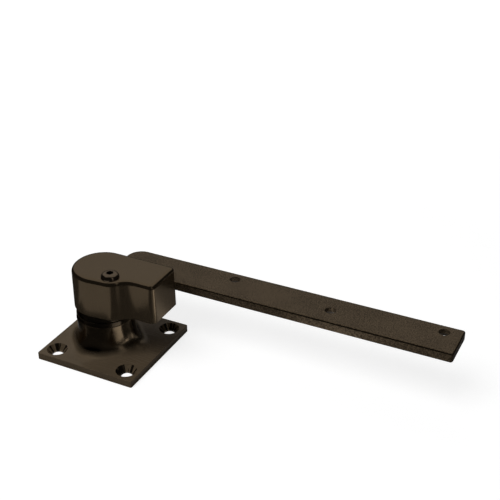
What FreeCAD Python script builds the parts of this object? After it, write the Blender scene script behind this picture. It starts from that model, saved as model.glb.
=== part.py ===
import FreeCAD, Part

import math
import os

from FreeCAD import Vector

# All sizes are in millimetres. The pivot axis is Z, the floor is z = 0, the door arm points
# along +X and the door stands on the +Y side of the pivot axis.

# Floor plate
plate_side = 68.3
plate_thickness = 4.5
plate_corner_radius = 1.0
plate_edge_radius = 0.3
plate_shift_x = 3.4
plate_shift_y = 1.7
floor_screw_spacing = 50.8
screw_hole_diameter = 6.8
countersink_diameter = 12.8
countersink_angle = 82.0

# Column that flares out of the plate, widest towards the middles of the plate's sides
column_radius = 18.1
column_height = 24.1
lip_height = 1.2
lip_edge_radius = 0.4
lip_step = 0.15
flare_side_reach = 31.0
flare_corner_reach = 24.6
flare_toe_handle = 0.6
flare_neck_handle = 0.3
flare_toe_sink = 0.02
flare_pole_count = 24

# Pivot spindle, pressed into the column from below
shank_relief = 0.3
spindle_flange_step = 5.0
spindle_flange_thickness = 3.0
journal_radius = 7.0
journal_top_gap = 0.6
spindle_chamfer = 0.5
flange_clearance = 0.05
spindle_dowel_radius = 1.5
spindle_dowel_length = 8.0

# Thrust ball bearing between the column and the knuckle
race_width = 7.1
race_thickness = 2.6
race_gap = 3.0
ball_diameter = 4.0
ball_count = 16
ball_clearance = 0.03
ball_pocket_clearance = 0.15
race_bore_clearance = 0.3
cage_face_gap = 0.3
cage_edge_gap = 0.4
cage_shank_gap = 0.9
dust_band_step = 0.2
dust_band_wall = 0.8
dust_band_height = 3.1
dust_band_edge_radius = 0.3
race_skirt_step = 0.5
race_skirt_wall = 0.7
skirt_gap = 0.3

# Height shim under the arm
shim_thickness = 0.75
shim_bore_gap = 0.6
shim_edge_gap = 0.2

# Door arm
arm_thickness = 6.35
arm_width = 26.4
arm_centre_y = 42.3
arm_left_x = -12.0
arm_corner_radius = 10.0
arm_end_corner_radius = 1.6
arm_edge_radius = 1.1
web_right_x = 24.0
web_root_radius = 8.0
first_door_hole_x = 65.9
door_hole_pitch = 66.95
last_hole_end_distance = 10.6
door_hole_offset = 6.0
middle_hole_offset = -1.2

# Knuckle cap, a cast cover over the knuckle block
cap_overhang = 0.35
cap_end_x = 41.7
cap_front_y = -9.5
cap_wall = 2.6
cap_roof = 3.0
cap_draft_inset = 0.35
cap_corner_radius = 3.4
cap_inner_corner_radius = 0.8
cap_top_edge_radius = 2.7
cap_seat_gap = 0.1
lobe_radius = 9.5
lobe_shift_y = 1.9
throat_radius = 12.5
slot_gap = 0.3

# Knuckle block, screwed down on the arm
block_height = 15.7
block_clearance = 0.3
counterbore_depth = 4.0
counterbore_step = 1.1

# Needle bearing in the block
needle_radius = 1.2
needle_count = 14
needle_length = 8.0
needle_clearance = 0.03
needle_window_clearance = 0.12
needle_end_gap = 0.2
needle_cage_rim = 0.4
needle_cage_journal_gap = 0.35
needle_cage_shell_gap = 0.31
needle_shell_wall = 1.0
needle_shell_lip = 0.8
needle_shell_lip_gap = 0.35
needle_shell_seat_gap = 0.1

# Grease seal in the arm's eye
seal_end_gap = 0.3
seal_running_clearance = 0.06

# Washer and retaining ring at the spindle's top
top_washer_thickness = 1.2
top_washer_bore_gap = 0.1
top_washer_edge_gap = 0.4
ring_thickness = 1.0
ring_face_gap = 0.1
ring_groove_depth = 0.5
ring_groove_side_gap = 0.05
ring_width = 2.6
ring_opening_angle = 70.0
ring_lug_radius = 1.5
ring_lug_hole_radius = 0.6

# Screw on the cap
cap_screw_x = 12.8
cap_screw_y = -9.8
cap_screw_radius = 3.1
cap_screw_length = 14.0
cap_screw_end_gap = 1.0
cap_screw_head_radius = 5.55
cap_screw_head_height = 3.0
cap_screw_head_rim = 0.5
cap_screw_crown_radius = 2.7
cap_screw_hex = 4.0
cap_screw_hex_depth = 1.9
cap_screw_hole_gap = 0.3
thread_clearance = 0.05

# Dowels between the block and the cap
cap_dowel_radius = 1.5
cap_dowel_block_depth = 5.0
cap_dowel_cap_depth = 1.5
cap_dowel_edge_distance = 3.9
dowel_clearance = 0.05

# Countersunk screws that hold the block on the arm
arm_screw_radius = 2.5
arm_screw_length = 12.0
arm_screw_head_radius = 4.6
arm_screw_edge_distance = 5.1
arm_screw_row_spacing = 13.0
arm_screw_hex = 3.0
arm_screw_hex_depth = 1.8

# Heights that follow from the stack
column_top = column_height
lower_race_top = column_top + race_thickness
ball_centre_z = lower_race_top + race_gap / 2
upper_race_bottom = lower_race_top + race_gap
upper_race_top = upper_race_bottom + race_thickness
arm_bottom = upper_race_top + shim_thickness
arm_top = arm_bottom + arm_thickness
block_top = arm_top + block_height
cap_bottom = upper_race_top + cap_seat_gap
cap_top = block_top + cap_roof
counterbore_floor = block_top - counterbore_depth
journal_top = block_top - journal_top_gap
top_washer_top = counterbore_floor + top_washer_thickness
ring_bottom = top_washer_top + ring_face_gap
dust_band_top = column_top + dust_band_height

# Radii that follow from the fits
countersink_half_angle = math.radians(countersink_angle / 2)
screw_hole_radius = screw_hole_diameter / 2
countersink_radius = countersink_diameter / 2
ball_radius = ball_diameter / 2
dust_band_outer = column_radius - dust_band_step
lower_race_outer = dust_band_outer - dust_band_wall
shank_radius = lower_race_outer - race_width
spindle_flange_radius = shank_radius + spindle_flange_step
ball_pitch_radius = shank_radius + race_width / 2
race_skirt_outer = dust_band_outer - race_skirt_step
race_skirt_inner = race_skirt_outer - race_skirt_wall
needle_pitch_radius = journal_radius + needle_clearance + needle_radius
needle_shell_inner = needle_pitch_radius + needle_radius + needle_clearance
knuckle_bore_radius = needle_shell_inner + needle_shell_wall
counterbore_radius = knuckle_bore_radius + counterbore_step
ring_groove_radius = journal_radius - ring_groove_depth
cap_radius = column_radius + cap_overhang

# Plan positions that follow
block_inset = cap_wall + block_clearance
block_end_x = cap_end_x - block_inset
block_back_y = cap_radius - block_inset
block_front_y = cap_front_y + block_inset
arm_front_y = arm_centre_y - arm_width / 2
arm_back_y = arm_centre_y + arm_width / 2
arm_right_x = first_door_hole_x + 2 * door_hole_pitch + last_hole_end_distance
lobe_centre_x = cap_screw_x
lobe_centre_y = cap_screw_y + lobe_shift_y
arm_screw_far_x = block_end_x - arm_screw_edge_distance
arm_screw_near_x = arm_screw_far_x - arm_screw_row_spacing
cap_dowel_x = (arm_screw_far_x + arm_screw_near_x) / 2


def cylinder(radius, low, high, x=0.0, y=0.0):
    return Part.makeCylinder(radius, high - low, Vector(x, y, low))


def cone(low_radius, high_radius, low, high, x=0.0, y=0.0):
    return Part.makeCone(low_radius, high_radius, high - low, Vector(x, y, low))


def tube(inner, outer, low, high):
    return cylinder(outer, low, high).cut(cylinder(inner, low, high))


def line(start, end):
    return Part.LineSegment(Vector(*start), Vector(*end)).toShape()


def arc(start, middle, end):
    return Part.Arc(Vector(*start), Vector(*middle), Vector(*end)).toShape()


def polygon_edges(points):
    return [line(a, b) for a, b in zip(points, points[1:])]


def turned(points):
    """Turn a closed outline of (radius, height) points about the pivot axis."""
    corners = [(radius, 0.0, height) for radius, height in points]
    outline = Part.Wire(polygon_edges(corners + corners[:1]))
    return Part.Face(outline).revolve(Vector(0, 0, 0), Vector(0, 0, 1), 360)


def hexagon_prism(across_flats, low, high, x, y):
    corner_radius = across_flats / (2 * math.cos(math.pi / 6))
    corners = []
    for step in range(7):
        angle = math.radians(60 * step)
        corners.append(Vector(x + corner_radius * math.cos(angle), y + corner_radius * math.sin(angle), low))
    return Part.Face(Part.makePolygon(corners)).extrude(Vector(0, 0, high - low))


def around(shape, count):
    return [shape.rotated(Vector(0, 0, 0), Vector(0, 0, 1), 360.0 * step / count) for step in range(count)]


def countersink_depth(head_radius, hole_radius):
    return (head_radius - hole_radius) / math.tan(countersink_half_angle)


def screw_hole(x, y, low, high, head_at_top):
    """Through hole for a flat-head screw, with its countersink on the stated side."""
    depth = countersink_depth(countersink_radius, screw_hole_radius)
    hole = cylinder(screw_hole_radius, low, high, x, y)
    if head_at_top:
        return hole.fuse(cone(screw_hole_radius, countersink_radius, high - depth, high, x, y))
    return hole.fuse(cone(countersink_radius, screw_hole_radius, low, low + depth, x, y))


def export(shape, node):
    shape.exportStep("parts/" + node + ".step")
    print(node, len(shape.Solids), round(shape.Volume, 1))


def plate_screw_places():
    half = floor_screw_spacing / 2
    return [(plate_shift_x + sx * half, plate_shift_y + sy * half) for sx in (-1, 1) for sy in (-1, 1)]


def door_hole_places():
    outer_y = arm_centre_y + door_hole_offset
    middle_y = arm_centre_y + middle_hole_offset
    return [
        (first_door_hole_x, outer_y),
        (first_door_hole_x + door_hole_pitch, middle_y),
        (first_door_hole_x + 2 * door_hole_pitch, outer_y),
    ]


def arm_screw_places():
    back = block_back_y - arm_screw_edge_distance
    front = block_front_y + arm_screw_edge_distance
    return [(x, y) for x in (arm_screw_near_x, arm_screw_far_x) for y in (front, back)]


def cap_dowel_places():
    return [
        (cap_dowel_x, block_back_y - cap_dowel_edge_distance),
        (cap_dowel_x, block_front_y + cap_dowel_edge_distance),
    ]


def flare_reach(angle):
    """Radius of the flare's toe: large towards the plate's sides, small towards its corners."""
    lobe = (1 + math.cos(4 * angle)) / 2
    return flare_corner_reach + (flare_side_reach - flare_corner_reach) * lobe


def flare_body():
    """The flare as one spline surface, upright at the neck and level at the toe, with flat ends."""
    low = plate_thickness - flare_toe_sink
    high = column_top - lip_height
    neck = column_radius - lip_step
    poles = []
    for step in range(flare_pole_count):
        angle = math.pi / 4 + 2 * math.pi * step / flare_pole_count
        toe = flare_reach(angle)
        spread = toe - neck
        direction = Vector(math.cos(angle), math.sin(angle), 0)
        profile = [
            (toe, low),
            (toe - spread * flare_toe_handle, low),
            (neck, low + spread * flare_neck_handle),
            (neck, high),
        ]
        poles.append([direction * radius + Vector(0, 0, height) for radius, height in profile])
    knots = [float(step) for step in range(flare_pole_count + 1)]
    surface = Part.BSplineSurface()
    surface.buildFromPolesMultsKnots(
        poles, [1] * len(knots), [4, 4], knots, [0.0, 1.0], True, False, 3, 3)
    side = surface.toShape()
    ends = []
    for height in (low, high):
        rim = [edge for edge in side.Edges if abs(edge.BoundBox.Center.z - height) < 0.001]
        ends.append(Part.Face(Part.Wire(rim)))
    shell = Part.makeShell([side] + ends)
    shell.sewShape()
    body = Part.makeSolid(shell)
    if body.Volume < 0:
        body.reverse()
    return body


def make_floor_plate():
    corner = Vector(plate_shift_x - plate_side / 2, plate_shift_y - plate_side / 2, 0)
    block = Part.makeBox(plate_side, plate_side, column_top, corner)
    uprights = [edge for edge in block.Edges if abs(edge.BoundBox.ZLength - column_top) < 0.001]
    footprint = block.makeFillet(plate_corner_radius, uprights)
    slab = footprint.common(Part.makeBox(plate_side, plate_side, plate_thickness, corner))
    rim = [edge for edge in slab.Edges if edge.BoundBox.ZMin > plate_thickness - 0.001]
    slab = slab.makeFillet(plate_edge_radius, rim)
    lip = cylinder(column_radius, column_top - lip_height, column_top)
    lip_edges = [edge for edge in lip.Edges if edge.BoundBox.ZMin > column_top - 0.001]
    lip = lip.makeFillet(lip_edge_radius, lip_edges)
    plate = slab.fuse(flare_body().common(footprint)).fuse(lip)
    plate = plate.cut(cylinder(shank_radius, 0, column_top))
    plate = plate.cut(cylinder(spindle_flange_radius + flange_clearance, 0, spindle_flange_thickness))
    plate = plate.cut(spindle_dowel_shape())
    for x, y in plate_screw_places():
        plate = plate.cut(screw_hole(x, y, 0, plate_thickness, True))
    return plate


def spindle_dowel_shape():
    place_y = -(shank_radius + spindle_flange_radius) / 2
    return cylinder(spindle_dowel_radius, 0, spindle_dowel_length, 0, place_y)


def make_pivot_spindle():
    shank_top = upper_race_top - shank_relief
    ring_top = ring_bottom + ring_thickness
    spindle = turned([
        (0, 0),
        (spindle_flange_radius, 0),
        (spindle_flange_radius, spindle_flange_thickness),
        (shank_radius, spindle_flange_thickness),
        (shank_radius, shank_top - spindle_chamfer),
        (shank_radius - spindle_chamfer, shank_top),
        (journal_radius, shank_top),
        (journal_radius, ring_bottom - ring_groove_side_gap),
        (ring_groove_radius, ring_bottom - ring_groove_side_gap),
        (ring_groove_radius, ring_top + ring_groove_side_gap),
        (journal_radius, ring_top + ring_groove_side_gap),
        (journal_radius, journal_top - spindle_chamfer),
        (journal_radius - spindle_chamfer, journal_top),
        (0, journal_top),
    ])
    return spindle.cut(spindle_dowel_shape())


def ball_groove():
    return Part.makeTorus(ball_pitch_radius, ball_radius + ball_clearance, Vector(0, 0, ball_centre_z))


def make_lower_race():
    return tube(shank_radius, lower_race_outer, column_top, lower_race_top).cut(ball_groove())


def make_dust_band():
    band = tube(lower_race_outer, dust_band_outer, column_top, dust_band_top)
    rim = [edge for edge in band.Edges if edge.BoundBox.ZMin > dust_band_top - 0.001]
    return band.makeFillet(dust_band_edge_radius, rim)


def make_upper_race():
    skirt_bottom = dust_band_top + skirt_gap
    race = turned([
        (shank_radius + race_bore_clearance, upper_race_bottom),
        (race_skirt_inner, upper_race_bottom),
        (race_skirt_inner, skirt_bottom),
        (race_skirt_outer, skirt_bottom),
        (race_skirt_outer, upper_race_top),
        (shank_radius + race_bore_clearance, upper_race_top),
    ])
    return race.cut(ball_groove())


def ball_shape(extra=0.0):
    return Part.makeSphere(ball_radius + extra, Vector(ball_pitch_radius, 0, ball_centre_z))


def make_ball_cage():
    low = lower_race_top + cage_face_gap
    high = upper_race_bottom - cage_face_gap
    cage = tube(shank_radius + cage_shank_gap, race_skirt_inner - cage_edge_gap, low, high)
    pocket = cylinder(ball_radius + ball_pocket_clearance, low, high, ball_pitch_radius)
    return cage.cut(Part.makeCompound(around(pocket, ball_count)))


def make_bearing_balls():
    return Part.makeCompound(around(ball_shape(), ball_count))


def make_height_shim():
    inner = journal_radius + shim_bore_gap
    outer = cap_radius - block_inset - shim_edge_gap
    return tube(inner, outer, upper_race_top, arm_bottom)


def cap_outline(inset, height):
    """Plan of the knuckle moved inwards by inset, as one closed wire at the given height."""
    round_radius = cap_radius - inset
    lobe = lobe_radius - inset
    throat = throat_radius + inset
    front = cap_front_y + inset
    end = cap_end_x - inset
    corner = max(cap_corner_radius - inset, cap_inner_corner_radius)
    lobe_distance = math.hypot(lobe_centre_x, lobe_centre_y)
    lobe_direction = math.atan2(lobe_centre_y, lobe_centre_x)
    tangent = lobe_direction - math.acos((cap_radius - lobe_radius) / lobe_distance)
    throat_y = cap_front_y - throat_radius
    reach = lobe_radius + throat_radius
    throat_x = lobe_centre_x + math.sqrt(reach ** 2 - (throat_y - lobe_centre_y) ** 2)
    joint = math.atan2(throat_y - lobe_centre_y, throat_x - lobe_centre_x)

    def on_round(angle):
        return (round_radius * math.cos(angle), round_radius * math.sin(angle), height)

    def on_lobe(angle):
        return (lobe_centre_x + lobe * math.cos(angle), lobe_centre_y + lobe * math.sin(angle), height)

    def on_throat(angle):
        return (throat_x + throat * math.cos(angle), throat_y + throat * math.sin(angle), height)

    def corner_arc(centre_x, centre_y, first_degrees):
        angles = [math.radians(first_degrees + turn) for turn in (0, 45, 90)]
        return [(centre_x + corner * math.cos(a), centre_y + corner * math.sin(a), height) for a in angles]

    round_start = math.pi / 2
    round_end = tangent + 2 * math.pi
    throat_start = joint + math.pi
    front_corner = corner_arc(end - corner, front + corner, -90)
    back_corner = corner_arc(end - corner, round_radius - corner, 0)
    edges = [
        arc(on_round(round_start), on_round((round_start + round_end) / 2), on_round(round_end)),
        line(on_round(round_end), on_lobe(tangent)),
        arc(on_lobe(tangent), on_lobe((tangent + joint) / 2), on_lobe(joint)),
        arc(on_throat(throat_start), on_throat((throat_start + math.pi / 2) / 2), on_throat(math.pi / 2)),
        line(on_throat(math.pi / 2), front_corner[0]),
        arc(*front_corner),
        line(front_corner[2], back_corner[0]),
        arc(*back_corner),
        line(back_corner[2], on_round(round_start)),
    ]
    return Part.Wire(edges)


def knuckle_prism(inset, low, high):
    return Part.Face(cap_outline(inset, low)).extrude(Vector(0, 0, high - low))


def arm_bar():
    """The straight bar and its web towards the knuckle, with rounded edges."""
    far = arm_right_x - arm_end_corner_radius
    diagonal = math.sqrt(0.5)

    def point(x, y):
        return (x, y, arm_bottom)

    def rounded(centre_x, centre_y, radius, from_side, to_side):
        """Points of a quarter arc about a centre, between two unit directions."""
        middle = [diagonal * (a + b) for a, b in zip(from_side, to_side)]
        directions = (from_side, middle, to_side)
        return [point(centre_x + radius * dx, centre_y + radius * dy) for dx, dy in directions]

    root = rounded(
        web_right_x + web_root_radius, arm_front_y - web_root_radius, web_root_radius, (-1, 0), (0, 1))
    front_end = rounded(
        far, arm_front_y + arm_end_corner_radius, arm_end_corner_radius, (0, -1), (1, 0))
    back_end = rounded(
        far, arm_back_y - arm_end_corner_radius, arm_end_corner_radius, (1, 0), (0, 1))
    back_left = rounded(
        arm_left_x + arm_corner_radius, arm_back_y - arm_corner_radius, arm_corner_radius, (0, 1), (-1, 0))
    edges = [
        line(point(arm_left_x, 0), point(web_right_x, 0)),
        line(point(web_right_x, 0), root[0]),
        arc(*root),
        line(root[2], front_end[0]),
        arc(*front_end),
        line(front_end[2], back_end[0]),
        arc(*back_end),
        line(back_end[2], back_left[0]),
        arc(*back_left),
        line(back_left[2], point(arm_left_x, 0)),
    ]
    bar = Part.Face(Part.Wire(edges)).extrude(Vector(0, 0, arm_thickness))
    flat_edges = [edge for edge in bar.Edges if edge.BoundBox.ZLength < 0.001]
    return bar.makeFillet(arm_edge_radius, flat_edges)


def arm_screw_shape(x, y, clearance=0.0):
    """A flat-head screw that points up, its head flush with the arm's underside."""
    head = arm_screw_head_radius
    shank = arm_screw_radius
    depth = countersink_depth(head, shank)
    body = cylinder(shank + clearance, arm_bottom, arm_bottom + arm_screw_length + clearance, x, y)
    return body.fuse(cone(head + clearance, shank + clearance, arm_bottom, arm_bottom + depth, x, y))


def make_door_arm():
    eye = knuckle_prism(block_inset, arm_bottom, arm_top)
    arm = arm_bar().fuse(eye).removeSplitter()
    arm = arm.cut(cylinder(knuckle_bore_radius, arm_bottom, arm_top))
    for x, y in door_hole_places():
        arm = arm.cut(screw_hole(x, y, arm_bottom, arm_top, False))
    for x, y in arm_screw_places():
        arm = arm.cut(arm_screw_shape(x, y, dowel_clearance))
    return arm


def make_arm_screws():
    screws = []
    for x, y in arm_screw_places():
        screw = arm_screw_shape(x, y)
        screws.append(screw.cut(hexagon_prism(arm_screw_hex, arm_bottom, arm_bottom + arm_screw_hex_depth, x, y)))
    return Part.makeCompound(screws)


def make_grease_seal():
    inner = journal_radius + seal_running_clearance
    return tube(inner, knuckle_bore_radius, arm_bottom + seal_end_gap, arm_top - seal_end_gap)


def make_knuckle_block():
    block = knuckle_prism(block_inset, arm_top, block_top)
    block = block.cut(cylinder(knuckle_bore_radius, arm_top, counterbore_floor))
    block = block.cut(cylinder(counterbore_radius, counterbore_floor, block_top))
    screw_end = cap_top - cap_screw_length - cap_screw_end_gap
    thread = cap_screw_radius + thread_clearance
    block = block.cut(cylinder(thread, screw_end, block_top, cap_screw_x, cap_screw_y))
    for x, y in arm_screw_places():
        block = block.cut(arm_screw_shape(x, y, thread_clearance))
    for x, y in cap_dowel_places():
        block = block.cut(cylinder(cap_dowel_radius, block_top - cap_dowel_block_depth, block_top, x, y))
    return block


def needle_shell_low():
    return arm_top + needle_shell_seat_gap


def needle_cage_low():
    return needle_shell_low() + needle_shell_lip + needle_end_gap


def needle_cage_high():
    return needle_cage_low() + needle_length + 2 * needle_cage_rim


def make_needle_shell():
    low = needle_shell_low()
    high = needle_cage_high() + needle_end_gap + needle_shell_lip
    lip_inner = journal_radius + needle_shell_lip_gap
    return turned([
        (lip_inner, low),
        (knuckle_bore_radius, low),
        (knuckle_bore_radius, high),
        (lip_inner, high),
        (lip_inner, high - needle_shell_lip),
        (needle_shell_inner, high - needle_shell_lip),
        (needle_shell_inner, low + needle_shell_lip),
        (lip_inner, low + needle_shell_lip),
    ])


def needle_shape(extra=0.0):
    low = needle_cage_low() + needle_cage_rim - extra
    high = needle_cage_high() - needle_cage_rim + extra
    return cylinder(needle_radius + extra, low, high, needle_pitch_radius)


def make_needle_cage():
    inner = journal_radius + needle_cage_journal_gap
    outer = needle_shell_inner - needle_cage_shell_gap
    cage = tube(inner, outer, needle_cage_low(), needle_cage_high())
    window = needle_shape(needle_window_clearance)
    return cage.cut(Part.makeCompound(around(window, needle_count)))


def make_needle_rollers():
    return Part.makeCompound(around(needle_shape(), needle_count))


def make_top_washer():
    inner = journal_radius + top_washer_bore_gap
    return tube(inner, counterbore_radius - top_washer_edge_gap, counterbore_floor, top_washer_top)


def make_retaining_ring():
    top = ring_bottom + ring_thickness
    outer = ring_groove_radius + ring_width
    ring = tube(ring_groove_radius, outer, ring_bottom, top)
    half_opening = math.radians(ring_opening_angle / 2)
    reach = 2 * outer
    wedge = Part.makePolygon([
        Vector(0, 0, ring_bottom),
        Vector(reach * math.cos(half_opening), -reach * math.sin(half_opening), ring_bottom),
        Vector(reach * math.cos(half_opening), reach * math.sin(half_opening), ring_bottom),
        Vector(0, 0, ring_bottom),
    ])
    ring = ring.cut(Part.Face(wedge).extrude(Vector(0, 0, ring_thickness)))
    lug_distance = ring_groove_radius + ring_lug_radius
    for side in (-1, 1):
        x = lug_distance * math.cos(half_opening)
        y = side * lug_distance * math.sin(half_opening)
        ring = ring.fuse(cylinder(ring_lug_radius, ring_bottom, top, x, y))
        ring = ring.cut(cylinder(ring_lug_hole_radius, ring_bottom, top, x, y))
    return ring.cut(cylinder(ring_groove_radius, ring_bottom, top)).removeSplitter()


def make_knuckle_cap():
    outer = Part.makeLoft(
        [cap_outline(0, cap_bottom), cap_outline(cap_draft_inset, cap_top)], True, True)
    rim = [edge for edge in outer.Edges if edge.BoundBox.ZMin > cap_top - 0.001]
    outer = outer.makeFillet(cap_top_edge_radius, rim)
    cap = outer.cut(knuckle_prism(cap_wall, cap_bottom, block_top))
    slot_low = Vector(arm_left_x - slot_gap, 0, cap_bottom)
    slot_width = web_right_x - arm_left_x + 2 * slot_gap
    cap = cap.cut(Part.makeBox(slot_width, 2 * cap_radius, arm_top + slot_gap - cap_bottom, slot_low))
    hole = cap_screw_radius + cap_screw_hole_gap
    cap = cap.cut(cylinder(hole, block_top, cap_top, cap_screw_x, cap_screw_y))
    for x, y in cap_dowel_places():
        pin_top = block_top + cap_dowel_cap_depth + dowel_clearance
        cap = cap.cut(cylinder(cap_dowel_radius + dowel_clearance, block_top, pin_top, x, y))
    return cap


def make_cap_dowels():
    pins = []
    for x, y in cap_dowel_places():
        low = block_top - cap_dowel_block_depth
        pins.append(cylinder(cap_dowel_radius, low, block_top + cap_dowel_cap_depth, x, y))
    return Part.makeCompound(pins)


def make_cap_screw():
    """Button-head screw with a hexagon socket, seated on the cap's top."""
    rim_top = cap_screw_head_rim
    crown = cap_screw_head_height
    rise = crown - rim_top
    run = cap_screw_head_radius - cap_screw_crown_radius
    dome_radius = (run ** 2 + rise ** 2) / (2 * rise)
    half_turn = math.asin(run / dome_radius) / 2
    middle = (
        cap_screw_crown_radius + dome_radius * math.sin(half_turn),
        0.0,
        crown - dome_radius * (1 - math.cos(half_turn)),
    )
    rim_corner = (cap_screw_head_radius, 0.0, rim_top)
    crown_corner = (cap_screw_crown_radius, 0.0, crown)
    edges = polygon_edges([
        (0.0, 0.0, crown),
        (0.0, 0.0, -cap_screw_length),
        (cap_screw_radius - spindle_chamfer, 0.0, -cap_screw_length),
        (cap_screw_radius, 0.0, spindle_chamfer - cap_screw_length),
        (cap_screw_radius, 0.0, 0.0),
        (cap_screw_head_radius, 0.0, 0.0),
        rim_corner,
    ])
    edges.append(arc(rim_corner, middle, crown_corner))
    edges.append(line(crown_corner, (0.0, 0.0, crown)))
    screw = Part.Face(Part.Wire(edges)).revolve(Vector(0, 0, 0), Vector(0, 0, 1), 360)
    screw = screw.cut(hexagon_prism(cap_screw_hex, crown - cap_screw_hex_depth, crown, 0, 0))
    screw.translate(Vector(cap_screw_x, cap_screw_y, cap_top))
    return screw


os.makedirs("parts", exist_ok=True)

export(make_floor_plate(), "floor_plate")
export(make_pivot_spindle(), "pivot_spindle")
export(spindle_dowel_shape(), "spindle_dowel")
export(make_lower_race(), "lower_race")
export(make_dust_band(), "dust_band")
export(make_retaining_ring(), "retaining_ring")
export(make_ball_cage(), "ball_cage")
export(make_bearing_balls(), "bearing_balls")
export(make_needle_cage(), "needle_cage")
export(make_needle_rollers(), "needle_rollers")
export(make_upper_race(), "upper_race")
export(make_height_shim(), "height_shim")
export(make_door_arm(), "door_arm")
export(make_arm_screws(), "arm_screws")
export(make_grease_seal(), "grease_seal")
export(make_knuckle_block(), "knuckle_block")
export(make_needle_shell(), "needle_shell")
export(make_top_washer(), "top_washer")
export(make_cap_dowels(), "cap_dowels")
export(make_knuckle_cap(), "knuckle_cap")
export(make_cap_screw(), "cap_screw")
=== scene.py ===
import math

import bpy
from mathutils import Matrix, Vector


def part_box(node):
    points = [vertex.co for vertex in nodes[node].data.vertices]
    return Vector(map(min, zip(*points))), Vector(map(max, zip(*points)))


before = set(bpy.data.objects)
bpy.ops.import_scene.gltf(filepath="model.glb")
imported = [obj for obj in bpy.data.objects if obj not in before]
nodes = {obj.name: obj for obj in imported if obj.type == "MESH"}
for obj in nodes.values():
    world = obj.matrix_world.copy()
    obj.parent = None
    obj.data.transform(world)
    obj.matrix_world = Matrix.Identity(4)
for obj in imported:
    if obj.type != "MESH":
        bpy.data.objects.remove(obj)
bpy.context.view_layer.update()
print("frame loaded:", len(nodes), "nodes")


# A socket in an expression: each operator adds its Math node
class ShaderValue:
    def __init__(self, shader, socket):
        self.shader = shader
        self.socket = socket

    def math(self, operation, *others):
        inputs = dict(enumerate((self,) + others))
        return self.shader.node("ShaderNodeMath", {"operation": operation}, inputs)

    def __add__(self, other):
        return self.math("ADD", other)

    def __radd__(self, other):
        return self.math("ADD", other)

    def __sub__(self, other):
        return self.math("SUBTRACT", other)

    def __rsub__(self, other):
        return (self * -1).math("ADD", other)

    def __mul__(self, other):
        return self.math("MULTIPLY", other)

    def __rmul__(self, other):
        return self.math("MULTIPLY", other)

    def __truediv__(self, other):
        return self.math("DIVIDE", other)

    def __pow__(self, other):
        return self.math("POWER", other)

    def clamped(self):
        return self.math("MAXIMUM", 0.0).math("MINIMUM", 1.0)


class Shader:
    def __init__(self, tree):
        self.tree = tree
        tree.nodes.clear()

    # One node: its settings first, then the values or links of its sockets
    def node(self, kind, settings=None, inputs=None, output=0):
        made = self.tree.nodes.new(kind)
        for name, value in (settings or {}).items():
            setattr(made, name, value)
        for name, value in (inputs or {}).items():
            socket = made.inputs[name]
            if isinstance(value, ShaderValue):
                self.tree.links.new(value.socket, socket)
            else:
                socket.default_value = value
        return ShaderValue(self, made.outputs[output]) if made.outputs else None

    def place(self):
        return self.node("ShaderNodeTexCoord", output="Object")

    def axes(self, place):
        return [self.node("ShaderNodeSeparateXYZ", {}, {"Vector": place}, output=axis) for axis in "XYZ"]

    def mapped(self, place, scale):
        return self.node("ShaderNodeMapping", {}, {"Vector": place, "Scale": scale})

    def vector(self, operation, first, second):
        return self.node("ShaderNodeVectorMath", {"operation": operation}, {0: first, 1: second})

    def length(self, vector):
        return self.node("ShaderNodeVectorMath", {"operation": "LENGTH"}, {0: vector}, output="Value")

    def scaled(self, color, reflectionGain):
        return self.node("ShaderNodeVectorMath", {"operation": "SCALE"}, {0: color, "Scale": reflectionGain})

    def noise(self, vector, scale, detail=2.0, roughness=0.5):
        return self.node("ShaderNodeTexNoise", {}, {
            "Vector": vector, "Scale": scale, "Detail": detail, "Roughness": roughness}, output="Fac")

    def range(self, value, low, high, toLow, toHigh):
        return self.node("ShaderNodeMapRange", {}, {
            "Value": value, "From Min": low, "From Max": high, "To Min": toLow, "To Max": toHigh})

    # A Mix node on colours has its factor, A and B at sockets 0, 6 and 7, and its result at 2
    def blend(self, share, first, second):
        return self.node("ShaderNodeMix", {"data_type": "RGBA"}, {0: share, 6: first, 7: second}, output=2)

    def bump(self, height, distance):
        return self.node("ShaderNodeBump", {}, {"Height": height, "Distance": distance})

    def emission(self, color, strength=1.0):
        return self.node("ShaderNodeEmission", {}, {"Color": color, "Strength": strength})

    def finish(self, surface):
        self.node("ShaderNodeOutputMaterial", {}, {"Surface": surface})


def newMaterial(name):
    material = bpy.data.materials.new(name)
    material.use_nodes = True
    return material, Shader(material.node_tree)


def dress(nodeNames, material):
    for name in nodeNames:
        mesh = nodes[name].data
        mesh.materials.clear()
        mesh.materials.append(material)


# At grazing angles the bronze mirrors less than plain metal does
bronzeGloss = {"Specular Tint": (0.6, 0.6, 0.6, 1), "Specular IOR Level": 0.08}

# Satin dark bronze of the floor plate: fine brushing along X on the flat, cloudy plating
plateFinish = {
    "light": (0.140, 0.103, 0.065, 1),
    "dark": (0.096, 0.070, 0.043, 1),
    "roughLow": 0.15,
    "roughHigh": 0.21,
    "brushScale": (60, 2600, 2600),
    "brushDepth": 0.00002,
    "grainScale": 5200,
    "cloudScale": 46,
    "flatMetal": 0.15,
    "flatRoughening": 0.08,
}

# The cap has the same plating on a tumbled casting, with hardly any brushing
capFinish = {
    "light": (0.124, 0.091, 0.057, 1),
    "dark": (0.110, 0.080, 0.049, 1),
    "roughLow": 0.19,
    "roughHigh": 0.25,
    "brushScale": (900, 900, 120),
    "brushDepth": 0.000003,
    "grainScale": 5200,
    "cloudScale": 46,
    "metal": 0.75,
}

# How cloud, brushing and grain share in the plating's tone and wear
platingMix = {
    "cloudTone": 0.5, "brushTone": 0.3, "grainTone": 0.2,
    "brushWear": 0.6, "cloudWear": 0.4,
    "low": 0.3, "high": 0.7,
    "detail": 3, "brushRoughness": 0.6,
}


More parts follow.
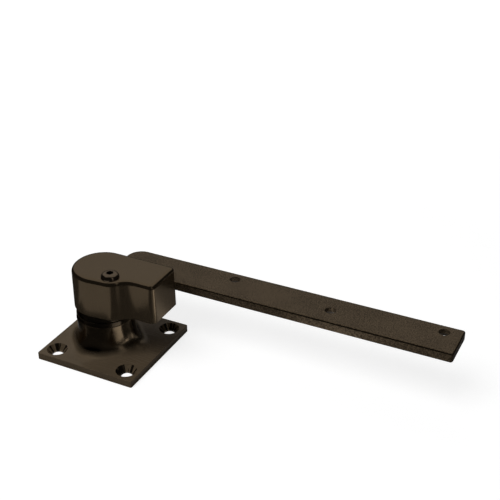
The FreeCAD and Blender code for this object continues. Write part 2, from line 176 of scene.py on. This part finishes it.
def platingLayers(s, place, finish):
    mix = platingMix
    cloud = s.noise(place, finish["cloudScale"], mix["detail"])
    brushing = s.noise(s.mapped(place, finish["brushScale"]), 1.0, mix["detail"], mix["brushRoughness"])
    grain = s.noise(place, finish["grainScale"])
    tone = cloud * mix["cloudTone"] + brushing * mix["brushTone"] + grain * mix["grainTone"]
    share = s.range(tone.clamped(), mix["low"], mix["high"], 0, 1)
    color = s.blend(share, finish["dark"], finish["light"])
    wear = brushing * mix["brushWear"] + cloud * mix["cloudWear"]
    worn = s.range(wear, mix["low"], mix["high"], finish["roughLow"], finish["roughHigh"])
    return color, worn, brushing, grain


# The rounded top edge of the cap is buffed, so it mirrors more and scatters less
capEdge = {
    "top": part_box("knuckle_cap")[1][2],
    "radius": 0.0027,
    "blend": 0.0004,
    "metal": 0.94,
    "rough": 0.13,
    "brushBump": 0.7,
    "grainBump": 0.3,
}


def capBronze(name, finish):
    material, s = newMaterial(name)
    place = s.place()
    z = s.axes(place)[2]
    top, soft = capEdge["top"], capEdge["blend"]
    low = top - capEdge["radius"]
    edge = s.range(z, low, low + soft, 0, 1) * s.range(z, top - soft / 2, top, 1, 0)
    color, worn, brushing, grain = platingLayers(s, place, finish)
    height = brushing * capEdge["brushBump"] + grain * capEdge["grainBump"]
    s.finish(s.node("ShaderNodeBsdfPrincipled", {}, {
        "Base Color": color,
        "Metallic": (1 - edge) * finish["metal"] + edge * capEdge["metal"],
        "Roughness": worn * (1 - edge) + edge * capEdge["rough"],
        "Normal": s.bump(height, finish["brushDepth"]), **bronzeGloss}))
    return material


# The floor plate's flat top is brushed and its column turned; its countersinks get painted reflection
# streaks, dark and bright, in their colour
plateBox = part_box("floor_plate")
plateCentre = (plateBox[0] + plateBox[1]) / 2
brushed = {"flatTop": 0.0046, "foot": 0.0088}
holes = {"spacing": 0.0508, "rim": 0.0065, "blend": 0.0001}
# Painted reflection in the countersinks: noise scales the colour from near black to brighter than the
# plating
coneReflectionStreaks = {
    "turns": 2.6, "shiftX": 40, "shiftY": 70,
    "low": 0.44, "high": 0.54, "dark": 0.1, "light": 1.3, "matt": 0.6,
}


def plateBronze(name, finish):
    material, s = newMaterial(name)
    place = s.place()
    x, y, z = s.axes(place)
    sideX, sideY = x - plateCentre[0], y - plateCentre[1]
    dx = sideX.math("ABSOLUTE") - holes["spacing"] / 2
    dy = sideY.math("ABSOLUTE") - holes["spacing"] / 2
    fromHole = (dx * dx + dy * dy) ** 0.5
    rim, soft = holes["rim"], holes["blend"]
    outside = s.range(fromHole, rim - soft, rim + soft, 0, 1)
    flat = s.range(z, brushed["flatTop"], brushed["foot"], 1, 0) * outside
    # Painted reflection streaks, dark and bright in the colour, run down the cones, and differ from hole
    # to hole
    around = s.node("ShaderNodeCombineXYZ", {}, {
        "X": dx / fromHole * sideX.math("SIGN"), "Y": dy / fromHole * sideY.math("SIGN"),
        "Z": sideX * coneReflectionStreaks["shiftX"] + sideY * coneReflectionStreaks["shiftY"]})
    reflectionStreaks = s.noise(around, coneReflectionStreaks["turns"], 1)
    reflectionGain = s.range(reflectionStreaks, coneReflectionStreaks["low"], coneReflectionStreaks["high"],
                   coneReflectionStreaks["dark"], coneReflectionStreaks["light"])
    cone = 1 - outside
    color, worn, brushing, grain = platingLayers(s, place, finish)
    s.finish(s.node("ShaderNodeBsdfPrincipled", {}, {
        "Base Color": s.scaled(color, reflectionGain * cone + outside),
        "Metallic": 1 - flat * (1 - finish["flatMetal"]) - cone * coneReflectionStreaks["matt"],
        "Roughness": worn + flat * finish["flatRoughening"],
        "Normal": s.bump(brushing * flat, finish["brushDepth"]), **bronzeGloss}))
    return material


# Blasted bar of the arm: a fine dull speckle
armFinish = {
    "light": (0.142, 0.103, 0.064, 1),
    "dark": (0.040, 0.029, 0.018, 1),
    "roughLow": 0.36,
    "roughHigh": 0.52,
    "speckleScale": 1500,
    "speckleDepth": 0.00008,
    "speckleDetail": 3,
    "speckleRoughness": 0.65,
    "pitScale": 1050,
    "cloudScale": 60,
    "speckleTone": 0.9,
    "cloudTone": 0.1,
    "toneLow": 0.41,
    "toneHigh": 0.59,
    "wearLow": 0.35,
    "wearHigh": 0.65,
    "speckleBump": 0.7,
    "pitBump": 0.3,
    "metal": 0.5,
}

# Its rounded top edges, along the front and at the end, are buffed too
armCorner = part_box("door_arm")[1]
armWidth = 0.0264
armEdge = {
    "front": armCorner[1] - armWidth,
    "end": armCorner[0],
    "top": 0.0394,
    "radius": 0.0011,
    "blend": 0.0002,
    "metal": 0.95,
    "rough": 0.16,
}


def armBronze(name, finish):
    material, s = newMaterial(name)
    place = s.place()
    x, y, z = s.axes(place)
    inward = (y - armEdge["front"]).math("MINIMUM", armEdge["end"] - x)
    radius, soft, top = armEdge["radius"], armEdge["blend"], armEdge["top"]
    low = top - radius
    edge = s.range(inward, radius - soft, radius, 1, 0) * s.range(z, low, low + soft, 0, 1)
    edge = edge * s.range(z, top, top + soft, 1, 0)
    speckle = s.noise(place, finish["speckleScale"], finish["speckleDetail"], finish["speckleRoughness"])
    pits = s.node("ShaderNodeTexVoronoi", {}, {"Vector": place, "Scale": finish["pitScale"]}, "Distance")
    cloud = s.noise(place, finish["cloudScale"])
    tone = (speckle * finish["speckleTone"] + cloud * finish["cloudTone"]).clamped()
    share = s.range(tone, finish["toneLow"], finish["toneHigh"], 0, 1)
    worn = s.range(speckle, finish["wearLow"], finish["wearHigh"], finish["roughHigh"], finish["roughLow"])
    height = (speckle * finish["speckleBump"] + pits * finish["pitBump"]) * (1 - edge)
    s.finish(s.node("ShaderNodeBsdfPrincipled", {}, {
        "Base Color": s.blend(share, finish["dark"], finish["light"]),
        "Metallic": (1 - edge) * finish["metal"] + edge * armEdge["metal"],
        "Roughness": worn * (1 - edge) + edge * armEdge["rough"],
        "Normal": s.bump(height, finish["speckleDepth"]), **bronzeGloss}))
    return material


# Turned pieces: fine rings round the pivot axis, or round a centre of their own
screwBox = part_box("cap_screw")
blackScrew = {
    "light": (0.17, 0.13, 0.09, 1), "dark": (0.10, 0.075, 0.05, 1),
    "rough": (0.12, 0.2), "rings": 3000, "tint": (0.6, 0.6, 0.6, 1),
}
turnedMetals = {
    # Dust band and upper race: bronze whose colour is darkened as painted shade of the deep gap under the
    # cap
    "bandBronzePaintedShade": {
        "nodes": ["dust_band", "upper_race"],
        "light": (0.070, 0.053, 0.035, 1), "dark": (0.035, 0.026, 0.017, 1),
        "rough": (0.14, 0.24), "rings": 1900, "tint": (0.4, 0.4, 0.4, 1),
    },
    "groundSteel": {
        "nodes": ["pivot_spindle", "spindle_dowel", "height_shim", "top_washer", "cap_dowels"],
        "light": (0.50, 0.50, 0.51, 1), "dark": (0.36, 0.36, 0.37, 1),
        "rough": (0.22, 0.38), "rings": 2600,
    },
    "bearingSteel": {
        "nodes": ["lower_race", "bearing_balls", "needle_rollers", "needle_shell"],
        "light": (0.62, 0.62, 0.63, 1), "dark": (0.48, 0.48, 0.49, 1),
        "rough": (0.08, 0.18), "rings": 3200,
    },
    "springSteel": {
        "nodes": ["retaining_ring"],
        "light": (0.12, 0.12, 0.14, 1), "dark": (0.06, 0.06, 0.08, 1),
        "rough": (0.25, 0.4), "rings": 2400,
    },
    "cageBrass": {
        "nodes": ["ball_cage", "needle_cage"],
        "light": (0.62, 0.43, 0.16, 1), "dark": (0.42, 0.28, 0.10, 1),
        "rough": (0.22, 0.36), "rings": 2200,
    },
    "armScrewBlack": {"nodes": ["arm_screws"], **blackScrew},
    "capScrewBlack": {"nodes": ["cap_screw"], "centre": (screwBox[0] + screwBox[1]) / 2, **blackScrew},
}
turning = {
    "ringTone": 0.6, "stainTone": 0.4, "ringWear": 0.5, "stainWear": 0.5,
    "low": 0.35, "high": 0.65, "ringRoughness": 0.6, "stainScale": 220, "stainDetail": 3,
    "depth": 0.00001,
}


def turnedMetal(name, finish):
    material, s = newMaterial(name)
    place = s.vector("SUBTRACT", s.place(), finish.get("centre", (0, 0, 0)))
    radius = s.length(s.vector("MULTIPLY", place, (1, 1, 0)))
    across = s.node("ShaderNodeCombineXYZ", {}, {"X": radius, "Y": s.axes(place)[2]})
    rings = s.noise(across, finish["rings"], roughness=turning["ringRoughness"])
    stain = s.noise(place, turning["stainScale"], turning["stainDetail"])
    tone = (rings * turning["ringTone"] + stain * turning["stainTone"]).clamped()
    share = s.range(tone, turning["low"], turning["high"], 0, 1)
    wear = rings * turning["ringWear"] + stain * turning["stainWear"]
    s.finish(s.node("ShaderNodeBsdfPrincipled", {}, {
        "Base Color": s.blend(share, finish["dark"], finish["light"]),
        "Metallic": 1.0,
        "Roughness": s.range(wear, turning["low"], turning["high"], *finish["rough"]),
        "Normal": s.bump(rings, turning["depth"]),
        "Specular Tint": finish.get("tint", (1, 1, 1, 1))}))
    return material


rubberFinish = {
    "light": (0.030, 0.029, 0.028, 1),
    "dark": (0.014, 0.014, 0.014, 1),
    "grainScale": 3000,
    "grainDetail": 3,
    "grainDepth": 0.00002,
    "low": 0.3,
    "high": 0.7,
    "rough": (0.55, 0.75),
}


def sealRubber(name, finish):
    material, s = newMaterial(name)
    grain = s.noise(s.place(), finish["grainScale"], finish["grainDetail"])
    s.finish(s.node("ShaderNodeBsdfPrincipled", {}, {
        "Base Color": s.blend(grain, finish["dark"], finish["light"]),
        "Roughness": s.range(grain, finish["low"], finish["high"], *finish["rough"]),
        "Normal": s.bump(grain, finish["grainDepth"])}))
    return material


dress(["floor_plate"], plateBronze("plateBronze", plateFinish))
dress(["knuckle_cap"], capBronze("capBronze", capFinish))
dress(["door_arm", "knuckle_block"], armBronze("armBronze", armFinish))
for metalName, metalFinish in turnedMetals.items():
    dress(metalFinish["nodes"], turnedMetal(metalName, metalFinish))
dress(["grease_seal"], sealRubber("sealRubber", rubberFinish))
print("materials made")

# White room: the camera sees it white, and it lights the hinge only a little
room = {
    "seen": 1.0,
    "lightLevel": 0.1,
    "floorSize": 6.0,
    "floorColor": (0.4, 0.4, 0.4, 1),
    "nearGlow": (0.8, 0.8, 0.8, 1),
    "farGlow": (1, 1, 1, 1),
    "near": 0.3,
    "far": 1.1,
}
white = (1, 1, 1, 1)
black = (0, 0, 0, 1)


# 1 for the rays that show the room, 0 for those that light the hinge
def seenDirectly(s):
    rays = [s.node("ShaderNodeLightPath", output=name) for name in
            ("Is Camera Ray", "Is Glossy Ray", "Is Transmission Ray")]
    return (rays[0] + rays[1] + rays[2]).clamped()


def makeWorld():
    world = bpy.data.worlds.new("whiteRoom")
    world.use_nodes = True
    s = Shader(world.node_tree)
    share = seenDirectly(s)
    level = share * room["seen"] + (1 - share) * room["lightLevel"]
    background = s.node("ShaderNodeBackground", {}, {"Color": white, "Strength": level})
    s.node("ShaderNodeOutputWorld", {}, {"Surface": background})
    bpy.context.scene.world = world


# The floor glows where it is seen, up to full white far off, and keeps the hinge's shadow
def makeFloor():
    bpy.ops.mesh.primitive_plane_add(size=room["floorSize"], location=(0, 0, 0))
    floor = bpy.context.object
    floor.name = "floor"
    material, s = newMaterial("paleFloor")
    lit = s.node("ShaderNodeBsdfDiffuse", {}, {"Color": room["floorColor"]})
    away = s.range(s.length(s.place()), room["near"], room["far"], 0, 1)
    glow = s.emission(s.blend(away, room["nearGlow"], room["farGlow"]))
    shown = s.node("ShaderNodeMixShader", {}, {0: seenDirectly(s), 1: s.emission(black), 2: glow})
    s.finish(s.node("ShaderNodeAddShader", {}, {0: lit, 1: shown}))
    floor.data.materials.append(material)


makeWorld()
makeFloor()

# Soft boxes, placed by the direction they stand in from the hinge, in degrees
target = Vector((0.06, 0.0, 0.03))
softBoxes = {
    "overhead": {"turn": -118, "rise": 62, "distance": 1.4, "size": (1.0, 1.0), "watts": 11.0},
    "behind": {"turn": 120, "rise": 35, "distance": 1.4, "size": (1.0, 1.0), "watts": 2.5},
}


def aim(obj, spec):
    turn, rise = math.radians(spec["turn"]), math.radians(spec["rise"])
    away = Vector((math.cos(turn) * math.cos(rise), math.sin(turn) * math.cos(rise), math.sin(rise)))
    obj.location = target + away * spec["distance"]
    obj.rotation_euler = away.to_track_quat("Z", "Y").to_euler()


def makeLights():
    for name, spec in softBoxes.items():
        light = bpy.data.lights.new(name, "AREA")
        light.shape = "RECTANGLE"
        light.size, light.size_y = spec["size"]
        light.energy = spec["watts"]
        obj = bpy.data.objects.new(name, light)
        bpy.context.scene.collection.objects.link(obj)
        aim(obj, spec)
        obj.visible_glossy = False


# Cards that only the metal shows, inside a dark dome: a light sky behind and over the hinge,
# an upright strip to its right, and fans on the floor. A fan runs from one angle to another, and
# from a gap off the plate or a near radius to a far radius or over a width.
standingCards = {
    "skyCard": {"turn": 118, "rise": 58, "distance": 1.3, "size": (2.6, 2.5), "level": 0.6},
    "stripCard": {"turn": -25, "rise": 30, "distance": 1.2, "size": (0.2, 1.5), "level": 0.6},
}
darkDome = {"radius": 2.8, "segments": 48, "rings": 24, "level": 0.03}
floorCards = {
    "contactRing": {"from": 0, "to": 360, "width": 0.0012, "level": 0.0},
    "edgeRing": {"from": 0, "to": 360, "gap": 0.0012, "width": 0.007, "level": 0.3},
    "nearCard": {"from": -6, "to": 323, "gap": 0.0082, "far": 0.06, "level": 0.03},
    "leftShelf": {"from": -146, "to": -66, "near": 0.036, "far": 0.1, "height": 0.024, "level": 0.5},
    "leftCard": {"from": -160, "to": -66, "near": 0.06, "far": 0.13, "level": 0.04},
    "frontCard": {"from": -66, "to": -35, "near": 0.06, "far": 0.13, "level": 0.06},
    "frontFar": {"from": -160, "to": -35, "near": 0.13, "far": 2.6, "level": 0.04},
    "rightNear": {"from": -37, "to": -6, "gap": 0.0082, "far": 0.058, "level": 1.7},
    "rightDark": {"from": -37, "to": 10, "near": 0.058, "far": 0.078, "level": 0.06},
    "rightMid": {"from": -37, "to": -20, "near": 0.078, "far": 0.1, "level": 0.06},
    "armNear": {"from": -20, "to": -12, "near": 0.078, "far": 0.1, "level": 0.35},
    "rightInner": {"from": -12, "to": 10, "near": 0.078, "far": 0.1, "level": 0.06},
    "rightFar": {"from": -35, "to": -16, "near": 0.1, "far": 0.21, "level": 0.3},
    "armCard": {"from": -16, "to": -5, "near": 0.1, "far": 0.21, "level": 0.7},
    "rightCard": {"from": -5, "to": 10, "near": 0.1, "far": 0.15, "level": 2.4},
    "rightEnd": {"from": -5, "to": 10, "near": 0.15, "far": 0.21, "level": 0.3},
    "rightBeyond": {"from": -35, "to": 10, "near": 0.21, "far": 2.6, "level": 0.04},
    "cornerCard": {"from": 10, "to": 28, "near": 0.06, "far": 0.14, "level": 0.35},
    "cornerFar": {"from": 10, "to": 28, "near": 0.14, "far": 2.6, "level": 0.15},
    "endStrip": {"from": 28, "to": 35, "near": 0.06, "far": 0.14, "level": 1.0},
    "endCard": {"from": 35, "to": 60, "near": 0.06, "far": 0.14, "level": 0.25},
    "backCard": {"from": 60, "to": 200, "near": 0.06, "far": 0.14, "level": 0.04},
    "endFar": {"from": 28, "to": 68, "near": 0.14, "far": 0.3, "level": 0.5},
    "endDark": {"from": 28, "to": 68, "near": 0.3, "far": 2.6, "level": 0.04},
    "backFar": {"from": 68, "to": 200, "near": 0.14, "far": 2.6, "level": 0.04},
}
cardHeight = 0.0006
fanStep = 2


# How far the floor plate reaches from the pivot axis in a direction
def plateReach(angle):
    partX, partY = math.cos(angle), math.sin(angle)
    sideX = plateBox[1][0] if partX > 0 else plateBox[0][0]
    sideY = plateBox[1][1] if partY > 0 else plateBox[0][1]
    return min(side / part for side, part in ((sideX, partX), (sideY, partY)) if part)


def makeFan(name, spec):
    start, sweep = spec["from"], spec["to"] - spec["from"]
    steps = round(sweep / fanStep)
    points = []
    for i in range(steps + 1):
        angle = math.radians(start + sweep * i / steps)
        near = max(plateReach(angle) + spec.get("gap", 0), spec.get("near", 0))
        far = spec["far"] if "far" in spec else near + spec["width"]
        height = spec.get("height", cardHeight)
        points += [(r * math.cos(angle), r * math.sin(angle), height) for r in (near, far)]
    faces = [(2 * i, 2 * i + 1, 2 * i + 3, 2 * i + 2) for i in range(steps)]
    mesh = bpy.data.meshes.new(name)
    mesh.from_pydata(points, [], faces)
    fan = bpy.data.objects.new(name, mesh)
    bpy.context.scene.collection.objects.link(fan)
    return fan


def makeDome():
    bpy.ops.mesh.primitive_uv_sphere_add(
        segments=darkDome["segments"], ring_count=darkDome["rings"], radius=darkDome["radius"])
    return bpy.context.object


def makeStandingCard(spec):
    bpy.ops.mesh.primitive_plane_add(size=1.0)
    card = bpy.context.object
    card.scale = (spec["size"][0], spec["size"][1], 1)
    aim(card, spec)
    return card


# A raised card glows upwards only, so its underside is black
def cardMaterial(name, spec):
    material, s = newMaterial(name)
    color = white
    if "height" in spec:
        color = s.blend(s.node("ShaderNodeNewGeometry", output="Backfacing"), white, black)
    s.finish(s.emission(color, spec["level"]))
    return material


def makeCards():
    cards = [(name, makeFan(name, spec), spec) for name, spec in floorCards.items()]
    cards += [(name, makeStandingCard(spec), spec) for name, spec in standingCards.items()]
    cards.append(("darkDome", makeDome(), darkDome))
    for name, card, spec in cards:
        card.name = name
        card.data.materials.append(cardMaterial(name, spec))
        card.visible_camera = False
        card.visible_diffuse = False
        card.visible_shadow = False


makeLights()
makeCards()
print("room and lights made")

# The photograph's view: where the camera looks, from where, and the picture's offset in pixels
view = {
    "azimuth": 27.392,
    "elevation": 30.165,
    "roll": -0.650,
    "distance": 0.631124,
    "target": (0.048558, 0.080984, 0.023915),
    "focal": 944.921,
    "frameSize": 500,
    "centre": (234.4, 271.15),
    "sensor": 36.0,
    "clipStart": 0.01,
    "clipEnd": 20,
}


def makeCamera():
    turn, rise, roll = (math.radians(view[name]) for name in ("azimuth", "elevation", "roll"))
    back = Vector((math.sin(turn) * math.cos(rise), -math.cos(turn) * math.cos(rise), math.sin(rise)))
    right = (-back).cross(Vector((0, 0, 1))).normalized()
    up = right.cross(-back)
    rolledRight = math.cos(roll) * right + math.sin(roll) * up
    rolledUp = -math.sin(roll) * right + math.cos(roll) * up
    camera = bpy.data.cameras.new("camera")
    camera.sensor_width = view["sensor"]
    camera.lens = view["focal"] / view["frameSize"] * view["sensor"]
    camera.shift_x = 0.5 - view["centre"][0] / view["frameSize"]
    camera.shift_y = view["centre"][1] / view["frameSize"] - 0.5
    camera.clip_start = view["clipStart"]
    camera.clip_end = view["clipEnd"]
    obj = bpy.data.objects.new("camera", camera)
    bpy.context.scene.collection.objects.link(obj)
    obj.matrix_world = Matrix((rolledRight, rolledUp, back)).transposed().to_4x4()
    obj.location = Vector(view["target"]) + back * view["distance"]
    bpy.context.scene.camera = obj


makeCamera()
bpy.context.scene.view_settings.view_transform = "Standard"
print("camera made")
